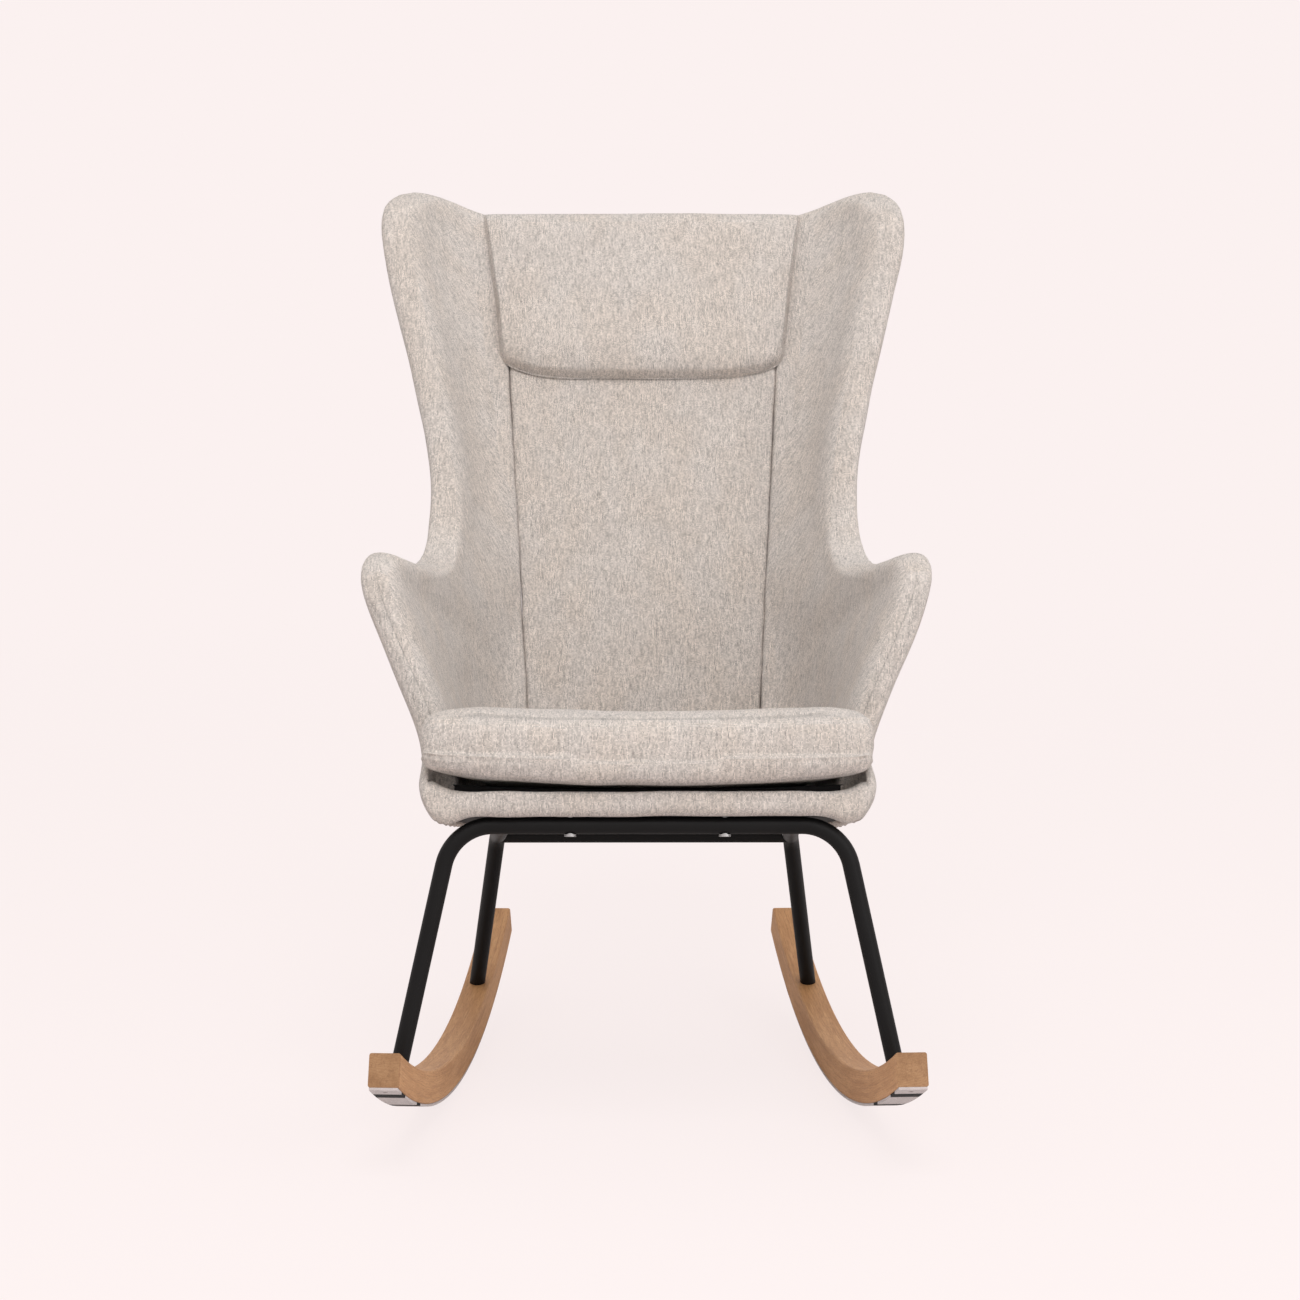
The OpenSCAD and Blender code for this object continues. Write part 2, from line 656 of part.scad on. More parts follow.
// The pillow lies on the back panel. Its rows run from its lower edge, which rises to the
// seams, up to the top edge of the shell.
headrest_columns = 12;
headrest_rows = [0, 0.03, 0.1, 0.25, 0.5, 0.75];
headrest_side_gap = 2;
headrest_gap = 1.5;
function headrest_low(u) = shell_top - headrest_height + headrest_corner * pow(u, 6);
function headrest_point(outer, u, z) =
    let (to_top = (shell_top - z) / cos(recline), to_low = (z - headrest_low(u)) / cos(recline))
    let (to_side = (1 - abs(u)) * seam_half, share = to_top * cos(recline) / headrest_height)
    let (pad = (pad_thickness + lumbar_crown * (1 - u * u)) * roundness(to_top, pad_radius))
    let (full = headrest_thickness * mix(0.5, 1, clamp(share, 0, 1)))
    back_point(u * (1 - headrest_side_gap / seam_half), z) + back_normal * (
        headrest_gap + pad + outer * full * roundness(to_top, pad_radius)
        * roundness(to_low, full) * roundness(to_side, full / 2));
function headrest_row(outer, from_low, from_top) = [
    for (j = [0:headrest_columns])
        let (u = sin(90 * (2 * j / headrest_columns - 1)))
        let (high = shell_top - edge_steps[0] * cos(recline))
        headrest_point(outer, u, from_top < 0 ? mix(headrest_low(u), high, from_low)
            : shell_top - from_top * cos(recline))
];
function headrest_layer(outer) = concat(
    [for (r = headrest_rows) headrest_row(outer, r, -1)],
    [for (d = edge_steps) headrest_row(outer, 1, d)]);

module headrest_pillow() at_rest() color("#c4b9ad")
    slab(headrest_layer(1), headrest_layer(0));

// ---------------------------------------------------------------- seat base

// A plan of the seat, in the seat frame, as its right-hand edge from front to back: the wall's
// cross line at t, brought in by an inset and cut off in front of a given line
plan_steps = 14;
function wall_plan(t, inset, front) = [
    for (k = [plan_steps:-1:0])
        let (s = k / plan_steps, p = to_seat(wall_point(t, s) + wall_normal(t, s) * inset))
        if (p.y > front) [p.x, p.y]
];
function both_sides(edge) = concat(edge, [
    for (k = [len(edge) - 1:-1:0]) if (edge[k].x > 0.01) [-edge[k].x, edge[k].y]
]);

border_front = -border_overhang;
border_back = border_depth - border_overhang;
border_half = rim[2].x - 2.5;
border_end = board_bottom + lip_height + lip_rise;
nose_room = 12;

// The board and the dust cover end inside the tucked edge of the outer cover, behind the border
module base_plan(inset) {
    front = border_front + 10 + inset;
    edge = wall_plan(0.5, inset + tuck_depth, front + 2);
    polygon(both_sides(concat([[edge[0].x, front]], edge)));
}

bolt_places = [
    [front_bolt_half, 0, -tube_radius], [-front_bolt_half, 0, -tube_radius],
    [tab_middle.x, tab_middle.y, tab_middle.z], [-tab_middle.x, tab_middle.y, tab_middle.z]
];
module at_bolts(which) {
    for (i = which) translate([bolt_places[i].x, bolt_places[i].y, 0]) children();
}

module seat_board() at_rest() color("#c8a878") seat_frame() difference() {
    translate([0, 0, board_bottom]) linear_extrude(board_thickness) base_plan(soft_gap);
    at_bolts([0:3]) {
        cylinder(h = board_top + 1, d = bolt_diameter + 1);
        translate([0, 0, board_top - tee_nut_depth])
            cylinder(h = tee_nut_depth + 1, d = bolt_diameter + 2.5);
    }
}

tee_nut_flange_height = 1.5;
module tee_nuts() at_rest() color("#b9bcc0") seat_frame() at_bolts([0:3]) difference() {
    union() {
        translate([0, 0, board_top + fit_gap])
            cylinder(h = tee_nut_flange_height, d = tee_nut_flange);
        translate([0, 0, board_top - tee_nut_depth + 1])
            cylinder(h = tee_nut_depth, d = bolt_diameter + 2.2);
    }
    cylinder(h = board_top + 10, d = bolt_diameter + 0.1);
}

// A seat bolt, with its head below and its tip in the tee nut
module seat_bolt(head_at) {
    translate([0, 0, head_at - bolt_head_height - fit_gap])
        cylinder(h = bolt_head_height, d = bolt_head);
    translate([0, 0, head_at - fit_gap - 0.01])
        cylinder(h = board_top - head_at, d = bolt_diameter);
}
module front_seat_bolts() at_rest() color("#b9bcc0") seat_frame()
    at_bolts([0, 1]) seat_bolt(-tube_radius);
module rear_seat_bolts() at_rest() color("#b9bcc0") seat_frame()
    at_bolts([2, 3]) seat_bolt(tab_middle.z);

module dust_cover() at_rest() color("#1f1f1f") seat_frame() difference() {
    translate([0, 0, tube_radius + fit_gap])
        linear_extrude(dust_cover_thickness) base_plan(soft_gap + 2);
    at_bolts([0:3]) cylinder(h = board_top, d = bolt_diameter + 1);
}

// The sag of the cushion's underside, and of the pad that it lies on
function sag(x) = cushion_sag * pow(x / nose_half, 2);

module deck_pad() at_rest() color("#c9beb2") seat_frame() difference() {
    edge = wall_plan(0.7, pad_thickness + 7 * soft_gap, border_back + 2 * soft_gap);
    front = border_back + soft_gap;
    intersection() {
        translate([0, 0, board_top + fit_gap]) linear_extrude(cushion_level)
            polygon(both_sides(concat([[edge[0].x, front]], edge)));
        // the dished top
        translate([0, 500, 0]) rotate([90, 0, 0]) linear_extrude(500) polygon(concat(
            [[nose_half, board_top], [-nose_half, board_top]],
            [for (x = [-nose_half:nose_half / 10:nose_half])
                [x, cushion_bottom + sag(x) - soft_gap]]));
    }
    at_bolts([0:3]) cylinder(h = board_top + tee_nut_flange_height + 1, d = tee_nut_flange + 2);
}

module front_border() at_rest() color("#cbc0b4") seat_frame() difference() {
    roll = 11;
    low = tube_radius + fit_gap;
    lip = board_bottom + lip_height;
    intersection() {
        // seen from the front: low in the middle, with raised rounded ends
        translate([0, border_back, 0]) rotate([90, 0, 0]) linear_extrude(border_depth)
            polygon(both_sides(concat(
                [[0, low]],
                [for (a = [-90:15:-15]) [border_half - 2.2 * roll, low + 2.6 * roll]
                    + roll * [2.2 * cos(a), 2.6 * sin(a)]],
                [for (a = [0:30:90]) [border_half - roll, border_end - roll]
                    + roll * [cos(a), sin(a)]],
                [for (f = [0.25:0.25:1]) [
                    border_half - roll - f * lip_end_width,
                    mix(border_end, lip, (1 - cos(180 * f)) / 2)]],
                [[0, lip]])));
        // seen from the side: a padded roll
        translate([-nose_half, 0, 0]) rotate([90, 0, 90]) linear_extrude(2 * nose_half)
            polygon(concat(
                [[border_back, border_end + 1], [border_back, low]],
                [for (a = [270:-15:180]) [border_front + roll, low + roll]
                    + roll * [cos(a), sin(a)]],
                [for (a = [180:-15:90]) [border_front + 20, border_end - 20]
                    + 20 * [cos(a), sin(a)] + [0, 1]]));
    }
    // room for the board and the dust cover behind the roll, and for the tee nuts
    linear_extrude(board_top + fit_gap) base_plan(0);
    at_bolts([0, 1]) cylinder(h = board_top + tee_nut_flange_height + 1, d = tee_nut_flange + 2);
}

// ---------------------------------------------------------------- seat cushion

// Plan of the cushion in the seat frame: the nose with its two ends, then between the arms
cushion_roll = 30;
nose_front = -nose_overhang;
nose_corner = 32;
// Room between the cushion and the arms and back
cushion_gap = 2;
function arc(c, r, from, to, step) = [for (a = [from:step:to]) c + r * [cos(a), sin(a)]];
cushion_edge = let (
        shoulder = nose_front + nose_depth,
        wall = wall_plan(2.6, pad_thickness + cushion_gap, shoulder + 24),
        side = [for (k = [0:len(wall) - 5]) wall[k]],
        neck = wall[0].x, hip = wall[len(wall) - 5].x,
        rear = wall[len(wall) - 1].y + (back_dish - lumbar_crown) / 2 - cushion_gap)
    concat(
        [for (x = [0:60:180]) [x, nose_front]],
        arc([nose_half - nose_corner, nose_front + nose_corner], nose_corner, -90, 0, 22.5),
        arc([nose_half - nose_corner, shoulder - nose_corner], nose_corner, 0, 67.5, 22.5),
        [[neck + 8, shoulder + 6], [neck, shoulder + 18]],
        side,
        [[hip - 15, rear - 10], [hip - 38, rear - 2], [hip - 75, rear]]);
cushion_plan = both_sides(cushion_edge);
cushion_centre = [0, (seat_depth - nose_overhang) / 2];

function inward(list, k) = let (n = len(list), d = unit(list[(k + 1) % n] - list[(k + n - 1) % n]))
    [-d.y, d.x];
// A ring of the cushion: brought in from its plan, or drawn towards its centre, at a level that
// follows the sag
function cushion_ring(inset, share, z) = [
    for (k = [0:len(cushion_plan) - 1])
        let (p = cushion_plan[k] + inset * inward(cushion_plan, k))
        let (q = mix(cushion_centre, p, share))
        [q.x, q.y, z + sag(q.x)]
];

module seat_cushion() at_rest() color("#d6ccc1") seat_frame() {
    half = cushion_thickness / 2;
    centre = cushion_bottom + half;
    // the rounded side, from the underside up
    sides = [
        for (a = [-90:30:90])
            cushion_ring(cushion_roll * (1 - cos(a)), 1, centre + half * sin(a))
    ];
    crowned = [
        for (f = [[0.7, 0.5], [0.35, 0.9]])
            cushion_ring(cushion_roll, f[0], cushion_bottom + cushion_thickness
                + cushion_crown * f[1])
    ];
    rings = concat(sides, crowned);
    n = len(cushion_plan);
    m = len(rings);
    top = [cushion_centre.x, cushion_centre.y, cushion_bottom + cushion_thickness + cushion_crown];
    bottom = [cushion_centre.x, cushion_centre.y, cushion_bottom];
    polyhedron(
        points = concat([for (r = rings) each r], [top, bottom]),
        faces = concat(
            [for (i = [0:m - 2]) for (k = [0:n - 1])
                let (a = i * n + k, b = i * n + (k + 1) % n)
                each [[a, b + n, b], [a, a + n, b + n]]],
            [for (k = [0:n - 1]) [m * n, (m - 1) * n + (k + 1) % n, (m - 1) * n + k]],
            [for (k = [0:n - 1]) [m * n + 1, k, (k + 1) % n]]),
        convexity = 6);
}

front_leg_frame();
rear_leg(LEFT);  // rear_leg_left
rear_leg(RIGHT);  // rear_leg_right
rear_cross_bar();
rear_mount_tabs();
leg_end_plugs();
runner(LEFT);  // runner_left
runner(RIGHT);  // runner_right
runner_bolts();
runner_felt(LEFT);  // runner_felt_left
runner_felt(RIGHT);  // runner_felt_right
grip_bars(LEFT);  // grip_bars_left
grip_bars(RIGHT);  // grip_bars_right
felt_tacks();
seat_board();
tee_nuts();
front_seat_bolts();
rear_seat_bolts();
dust_cover();
deck_pad();
front_border();
outer_side(LEFT);  // outer_side_left
outer_side(RIGHT);  // outer_side_right
outer_back();
inner_side(LEFT);  // inner_side_left
inner_side(RIGHT);  // inner_side_right
inner_back();
headrest_pillow();
seat_cushion();
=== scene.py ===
import json
import math

import bmesh
import bpy
from mathutils import Matrix, Vector, noise
from mathutils.kdtree import KDTree

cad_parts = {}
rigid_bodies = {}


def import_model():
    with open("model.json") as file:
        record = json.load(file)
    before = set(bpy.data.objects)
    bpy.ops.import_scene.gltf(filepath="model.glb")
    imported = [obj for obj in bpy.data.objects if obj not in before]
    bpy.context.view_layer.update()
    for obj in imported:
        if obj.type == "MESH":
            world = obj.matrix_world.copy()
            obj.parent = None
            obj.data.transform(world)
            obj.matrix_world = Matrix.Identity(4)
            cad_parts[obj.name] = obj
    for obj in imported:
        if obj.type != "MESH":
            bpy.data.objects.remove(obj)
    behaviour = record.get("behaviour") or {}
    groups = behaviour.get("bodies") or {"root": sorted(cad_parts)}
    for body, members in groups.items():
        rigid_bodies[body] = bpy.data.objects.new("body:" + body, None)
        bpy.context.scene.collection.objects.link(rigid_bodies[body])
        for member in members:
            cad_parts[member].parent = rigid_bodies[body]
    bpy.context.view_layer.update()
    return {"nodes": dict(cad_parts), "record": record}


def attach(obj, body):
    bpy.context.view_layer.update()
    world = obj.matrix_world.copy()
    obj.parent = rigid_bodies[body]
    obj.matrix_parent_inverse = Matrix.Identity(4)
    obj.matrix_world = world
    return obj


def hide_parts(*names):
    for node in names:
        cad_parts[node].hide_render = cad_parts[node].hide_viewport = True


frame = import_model()
nodes = frame["nodes"]

# ---------------------------------------------------------------- the chair's own sizes, in metres

LEAN = 7.5                          # how far the chair leans back at rest, in degrees
ROCKER_CENTRE = (0.0069640, 1.0891)  # y and z of the centre of the runners' arc at rest
TOE_OUT = 6.4                       # how far each runner points outwards to the front, in degrees
PITH_OUT = 0.215                    # from the chair's middle to the oak's heart, at y = 0
ARC_RADIUS = 1.07                   # of a runner's middle line
PITH_RADIUS = 0.985                 # of the arc that the oak's heart lies on
ARM_EDGE = 0.19                     # the arms lie further out than this, the back panel further in

# ---------------------------------------------------------------- shader maths


class Socket:
    """A value in a material: an output socket with the arithmetic that a pattern needs."""

    def __init__(self, nodes_of, out):
        self.nodes_of, self.out = nodes_of, out

    def maths(self, operation, *values):
        return self.nodes_of.node("ShaderNodeMath", {"operation": operation}, *values)

    def __add__(self, other):
        return self.maths("ADD", self, other)

    __radd__ = __add__

    def __sub__(self, other):
        return self.maths("SUBTRACT", self, other)

    def __rsub__(self, other):
        return self.maths("SUBTRACT", other, self)

    def __mul__(self, other):
        return self.maths("MULTIPLY", self, other)

    __rmul__ = __mul__

    def __truediv__(self, other):
        return self.maths("DIVIDE", self, other)

    def __pow__(self, other):
        return self.maths("POWER", self, other)

    def __abs__(self):
        return self.maths("ABSOLUTE", self)

    def sin(self):
        return self.maths("SINE", self)

    def floor(self):
        return self.maths("FLOOR", self)

    def over(self, low, high):
        """0 below low, 1 above high, with a soft ramp between."""
        return self.nodes_of.node("ShaderNodeMapRange", {"interpolation_type": "SMOOTHSTEP"},
                                  self, low, high, 0.0, 1.0)


class Finish:
    """One material and its nodes."""

    def __init__(self, name):
        self.material = bpy.data.materials.new(name)
        self.material.use_nodes = True
        self.tree = self.material.node_tree
        self.tree.nodes.clear()
        self.surface = self.tree.nodes.new("ShaderNodeBsdfPrincipled")
        output = self.tree.nodes.new("ShaderNodeOutputMaterial")
        self.tree.links.new(self.surface.outputs[0], output.inputs[0])
        self.output = output

    def node(self, kind, settings, *values, out=0, **named):
        """A node: its settings, then its inputs in order, with named ones after."""
        made = self.tree.nodes.new(kind)
        for key, value in settings.items():
            setattr(made, key, value)
        pairs = list(zip([i for i in made.inputs if i.enabled], values))
        pairs += [(made.inputs[key.replace("_", " ")], value) for key, value in named.items()]
        for socket, value in pairs:
            self.feed(socket, value)
        return Socket(self, [o for o in made.outputs if o.enabled][out])

    def feed(self, socket, value):
        if isinstance(value, Socket):
            self.tree.links.new(value.out, socket)
        elif socket.type == "RGBA" and len(value) == 3:
            socket.default_value = (*value, 1)
        else:
            socket.default_value = value

    def set(self, **named):
        for key, value in named.items():
            self.feed(self.surface.inputs[key.replace("_", " ")], value)

    def here(self):
        """Object coordinates."""
        return self.node("ShaderNodeTexCoord", {}, out=3)

    def place(self):
        """Object coordinates as x, y and z."""
        at = self.here()
        return [self.node("ShaderNodeSeparateXYZ", {}, at, out=i) for i in range(3)]

    def cloth(self):
        """The piece's own map, in metres across and along the cloth."""
        at = self.node("ShaderNodeUVMap", {"uv_map": "cloth"})
        return [self.node("ShaderNodeSeparateXYZ", {}, at, out=i) for i in range(2)]

    def vector(self, x, y, z=0.0):
        return self.node("ShaderNodeCombineXYZ", {}, x, y, z)

    def grain(self, at, scale=1.0, detail=2.0, rough=0.5):
        return self.node("ShaderNodeTexNoise", {}, Vector=at, Scale=scale, Detail=detail, Roughness=rough)

    def mix(self, share, a, b, blend="MIX"):
        made = self.tree.nodes.new("ShaderNodeMix")
        made.data_type, made.blend_type = "RGBA", blend
        for socket, value in ((made.inputs[0], share), (made.inputs[6], a), (made.inputs[7], b)):
            self.feed(socket, value)
        return Socket(self, made.outputs[2])

    def shade(self, tone, amount):
        """A colour made lighter or darker by a value round 1."""
        return self.mix(1.0, tone, self.vector(amount, amount, amount), "MULTIPLY")

    def bump(self, height, distance, strength=1.0):
        lump = self.node("ShaderNodeBump", {}, Strength=strength, Distance=distance, Height=height)
        self.feed(self.surface.inputs["Normal"], lump)


def woven(name):
    """Melange basket weave: fine upright slubs, broader ones two threads wide, a random tone at each
    crossing, and soft beige and lilac patches. The piece's seam map places its seams, and along their
    stitch lines the colour is darkened as painted shade."""
    f = Finish(name)
    u, v = f.cloth()
    thread, stray = 0.00125, 0.002
    wander = f.grain(f.vector(u * 45, v * 45), 1.0, 1.0) - 0.5
    across, along = (u + wander * stray) / thread, (v - wander * stray) / thread
    warp, weft = (across * math.pi).sin(), (along * math.pi).sin()
    bead = abs(warp * weft)
    slub = f.grain(f.vector(across.floor() * 1.37, along * 0.13), 1.0, 1.0, 0.6)
    pick = f.grain(f.vector(across * 0.30, along.floor() * 1.37, 17.0), 1.0, 1.0, 0.6)
    speck = f.node("ShaderNodeTexWhiteNoise", {}, f.vector(across.floor(), along.floor(), 3.0))
    cloud = f.grain(f.vector(u * 16, v * 11, 5.0), 1.0, 2.0, 0.5)
    beige, lilac, dark_thread = (0.682, 0.600, 0.538), (0.671, 0.603, 0.554), (0.44, 0.388, 0.358)
    tone = f.mix(cloud.over(0.36, 0.64), beige, lilac)
    tone = f.mix(slub.over(0.47, 0.33) * 0.20, tone, dark_thread)
    strand = f.grain(f.vector((across * 0.5).floor() * 1.37, along * 0.06, 9.0), 1.0, 1.0, 0.6)
    level = 0.78 + (slub - 0.5) * 0.80 + (pick - 0.5) * 0.18 + (speck - 0.5) * 0.40 + bead * 0.42
    level = level + (strand - 0.5) * 0.38
    level = level + (cloud - 0.5) * 0.06
    # Painted shade: near a seam's stitch line the colour is darkened by up to a quarter, for the shadow
    # in the seam's groove. The same mask also raises the bump.
    seam = f.node("ShaderNodeAttribute", {"attribute_name": "seam"}, out=2)
    seam_shade_width = 0.0017
    clear_of_seam_shade = abs(seam).over(0.0, seam_shade_width)
    f.set(Base_Color=f.shade(tone, level * (0.74 + clear_of_seam_shade * 0.26)), Roughness=0.93,
          Sheen_Weight=0.30, Sheen_Roughness=0.5, Specular_IOR_Level=0.2)
    f.bump(bead * 1.1 + slub * 0.5 + speck * 0.3 + clear_of_seam_shade * 0.8, 0.0007)
    return f.material


def black_paint():
    f = Finish("tube_paint")
    at = f.here()
    pits = f.grain(at, 2200.0, 2.0)
    haze = f.grain(at, 14.0, 3.0)
    f.set(Base_Color=f.mix(haze, (0.0050, 0.0047, 0.0047), (0.009, 0.0085, 0.0085)),
          Roughness=0.44 + haze * 0.12, Specular_IOR_Level=0.13)
    f.bump(pits, 0.00006, 0.6)
    return f.material


def oak():
    """Straight oak whose grain follows the runner's curve, with rings on the sawn ends."""
    f = Finish("oak")
    x, y, z = f.place()
    back, up = y - ROCKER_CENTRE[0], z - ROCKER_CENTRE[1]
    depth = (back * back + up * up) ** 0.5
    length = f.node("ShaderNodeMath", {"operation": "ARCTAN2"}, back, up * -1) * ARC_RADIUS
    side = abs(x) + y * math.tan(math.radians(TOE_OUT))
    hand = f.node("ShaderNodeMath", {"operation": "SIGN"}, x)
    drift = f.grain(f.vector(side * 22, depth * 22, length * 3.0 + hand * 3), 1.0, 3.0, 0.55)
    ring = 0.0026
    from_pith = ((side - PITH_OUT + hand * 0.012) ** 2 + (depth - PITH_RADIUS) ** 2) ** 0.5
    rings = ((from_pith + (drift - 0.5) * 0.02) * (2 * math.pi / ring)).sin()
    pores = f.grain(f.vector(side * 1700, depth * 1700, length * 90), 1.0, 2.0, 0.6)
    rays = f.grain(f.vector(side * 500, depth * 500, length * 26 + hand * 5), 1.0, 2.0, 0.5)
    streaks = f.grain(f.vector(side * 230, depth * 230, length * 9 - hand * 4), 1.0, 3.0, 0.65)
    broad = f.grain(f.vector(side * 45, depth * 45, length * 7 + hand), 1.0, 3.0, 0.6)
    facing = f.node("ShaderNodeTexCoord", {}, out=1)
    sawn = abs(f.node("ShaderNodeSeparateXYZ", {}, facing, out=1)).over(0.72, 0.84)
    tone = f.mix(broad.over(0.36, 0.66), (0.431, 0.214, 0.086), (0.535, 0.283, 0.126))
    tone = f.mix(streaks.over(0.50, 0.66) * 0.55, tone, (0.333, 0.151, 0.057))
    tone = f.mix(rings.over(0.2, 1.0) * 0.30, tone, (0.345, 0.162, 0.063))
    tone = f.mix(pores.over(0.54, 0.68) * 0.60, tone, (0.213, 0.095, 0.035))
    tone = f.mix(rays.over(0.58, 0.72) * 0.35, tone, (0.655, 0.389, 0.192))
    tone = f.shade(tone, 1.06 - sawn * 0.48)
    f.set(Base_Color=tone, Roughness=0.48 + pores * 0.2, Specular_IOR_Level=0.4)
    f.bump(pores * 0.8 + rings * 0.1, 0.00012, 0.7)
    return f.material


def felt():
    f = Finish("felt")
    at = f.here()
    hair = f.grain(at, 1400.0, 3.0, 0.7)
    cloud = f.grain(at, 90.0, 2.0)
    tone = f.mix(cloud, (0.39, 0.337, 0.327), (0.51, 0.446, 0.436))
    f.set(Base_Color=f.shade(tone, 0.65 + hair * 0.7), Roughness=0.95, Sheen_Weight=0.4)
    f.bump(hair, 0.0004)
    return f.material


def rubber():
    f = Finish("grip_rubber")
    at, (_, y, z) = f.here(), f.place()
    fine = f.grain(at, 900.0, 2.0)
    rib = 0.003
    ribs = ((y + z * 0.2) * (2 * math.pi / rib)).sin()
    f.set(Base_Color=f.shade((0.010, 0.010, 0.0105), 0.8 + fine * 0.4), Roughness=0.62 + fine * 0.15,
          Specular_IOR_Level=0.2)
    f.bump(ribs * 0.5 + fine * 0.5, 0.00025)
    return f.material


def zinc(name="zinc", tone=(0.40, 0.40, 0.40), rough=0.45):
    f = Finish(name)
    at = f.here()
    spangle = f.grain(at, 300.0, 2.0)
    scratch = f.grain(at, 2600.0, 2.0)
    f.set(Base_Color=f.shade(tone, 0.85 + spangle * 0.3), Metallic=1.0,
          Roughness=rough - 0.08 + spangle * 0.2)
    f.bump(scratch, 0.00004)
    return f.material


def plywood():
    f = Finish("plywood")
    x, y, z = f.place()
    two_plies = 0.0036
    plies = ((z + y * 0.22) * (2 * math.pi / two_plies)).sin()
    streaks = f.grain(f.vector(x * 14, y * 260, z * 260), 1.0, 3.0)
    tone = f.mix(plies.over(-0.3, 0.3), (0.48, 0.33, 0.20), (0.60, 0.44, 0.29))
    f.set(Base_Color=f.shade(tone, 0.75 + streaks * 0.5), Roughness=0.7)
    f.bump(streaks, 0.00015)
    return f.material


def black_cloth():
    f = Finish("dust_cloth")
    at = f.here()
    cells = f.node("ShaderNodeTexVoronoi", {}, Vector=at, Scale=520.0)
    fibres = f.grain(at, 1100.0, 3.0, 0.7)
    f.set(Base_Color=f.shade((0.012, 0.011, 0.011), 0.6 + fibres * 0.8), Roughness=0.9)
    f.bump(cells + fibres * 0.5, 0.0003)
    return f.material


finishes = {
    "woven": woven("woven"),
    "tube_paint": black_paint(),
    "oak": oak(),
    "zinc": zinc(),
    "felt": felt(),
    "grip_rubber": rubber(),
    "plywood": plywood(),
    "dust_cloth": black_cloth(),
    "plug_steel": zinc("plug_steel", (0.30, 0.30, 0.31), 0.45),
}

for entry in frame["record"]["subparts"]:
    nodes[entry["node"]].data.materials.clear()
    nodes[entry["node"]].data.materials.append(finishes[entry["material_slot"]])

# ---------------------------------------------------------------- modelling helpers


def alone(piece):
    """Makes piece the one active and selected object."""
    for other in bpy.context.view_layer.objects:
        other.select_set(False)
    piece.select_set(True)
    bpy.context.view_layer.objects.active = piece
    return piece


def editing(piece, *steps):
    """Runs edit-mode steps on the whole of a piece's mesh."""
    alone(piece)
    bpy.ops.object.mode_set(mode="EDIT")
    bpy.ops.mesh.select_mode(type="VERT")
    bpy.ops.mesh.select_all(action="SELECT")
    for step in steps:
        step()
    bpy.ops.object.mode_set(mode="OBJECT")
    return piece


def applied(piece, kind, **settings):
    alone(piece)
    modifier = piece.modifiers.new(kind.lower(), kind)
    for key, value in settings.items():
        setattr(modifier, key, value)
    bpy.ops.object.modifier_apply(modifier=modifier.name)
    return piece


def refined_copy(node, name, sharp=38.0):
    """A copy of a CAD node's mesh with its corners merged and its triangles paired, to refine.
    Edges that turn by more than sharp degrees are creased, so that they keep their place."""
    mesh = nodes[node].data.copy()
    mesh.name = name
    piece = bpy.data.objects.new(name, mesh)
    bpy.context.scene.collection.objects.link(piece)
    alone(piece)
    bpy.ops.mesh.customdata_custom_splitnormals_clear()
    editing(
        piece,
        lambda: bpy.ops.mesh.remove_doubles(threshold=2e-5),
        lambda: bpy.ops.mesh.tris_convert_to_quads(face_threshold=math.radians(50),
                                                   shape_threshold=math.radians(50)),
        lambda: bpy.ops.mesh.normals_make_consistent(inside=False),
        lambda: bpy.ops.mesh.select_all(action="DESELECT"),
        lambda: bpy.ops.mesh.select_mode(type="EDGE"),
        lambda: bpy.ops.mesh.edges_select_sharp(sharpness=math.radians(sharp)),
        lambda: bpy.ops.transform.edge_crease(value=1.0),
    )
    return piece


def lay_cloth(piece):
    """The cloth's own map in metres. Its threads run up and across the piece, and along the seat on
    what faces up."""
    mesh = piece.data
    for old in list(mesh.uv_layers):
        mesh.uv_layers.remove(old)
    uv = mesh.uv_layers.new(name="cloth")
    for face in mesh.polygons:
        n = face.normal
        if abs(n.x) > abs(n.y) and abs(n.x) > abs(n.z):
            a, b = 1, 2
        elif abs(n.y) > abs(n.z):
            a, b = 0, 2
        else:
            a, b = 0, 1
        for loop in face.loop_indices:
            co = mesh.vertices[mesh.loops[loop].vertex_index].co
            uv.data[loop].uv = (co[a], co[b])
    return piece


def edge_points(piece, sharp):
    """Points along the edges that turn by more than sharp degrees, about 2 mm apart."""
    work = bmesh.new()
    work.from_mesh(piece.data)
    points = []
    for edge in work.edges:
        if len(edge.link_faces) == 2 and edge.calc_face_angle() > math.radians(sharp):
            a, b = (v.co for v in edge.verts)
            steps = max(1, int((b - a).length / 0.002))
            points += [a.lerp(b, i / steps) for i in range(steps + 1)]
    work.free()
    return points


def sew(piece, points, dip=0.0007, narrow=0.004, soft=0.0014, wide=0.022, strength=None, inboard=None):
    """Draws the cloth in along a seam: a narrow dip at the stitches and a wide soft one beside them.
    strength gives how much of it a point of the seam has, and inboard how far beside the point the
    stitches run. The distance from the seam is kept as the piece's seam map, along which the cloth is
    darkened as painted shade."""
    tree = KDTree(max(1, len(points)))
    for i, point in enumerate(points):
        tree.insert(point, i)
    tree.balance()
    mesh = piece.data
    away = mesh.attributes.new("seam", "FLOAT", "POINT")
    widest = [(0.0, None)] * len(mesh.vertices)
    for face in mesh.polygons:
        for corner in face.vertices:
            if face.area > widest[corner][0]:
                widest[corner] = (face.area, face.normal.copy())
    for v, (area, n) in zip(mesh.vertices, widest):
        at, _, gap = tree.find(v.co) if points else (None, 0, 1.0)
        share = strength(at) if strength and points else 1.0
        gap -= inboard(at, v.co) if inboard and points else 0.0
        away.data[v.index].value = min(gap / max(share, 0.05), 0.05)
        if gap < 0.07:
            pull = dip * math.exp(-(gap / narrow) ** 2) + soft * math.exp(-(gap / wide) ** 2)
            v.co -= n * pull * share
    mesh.update()
    return piece


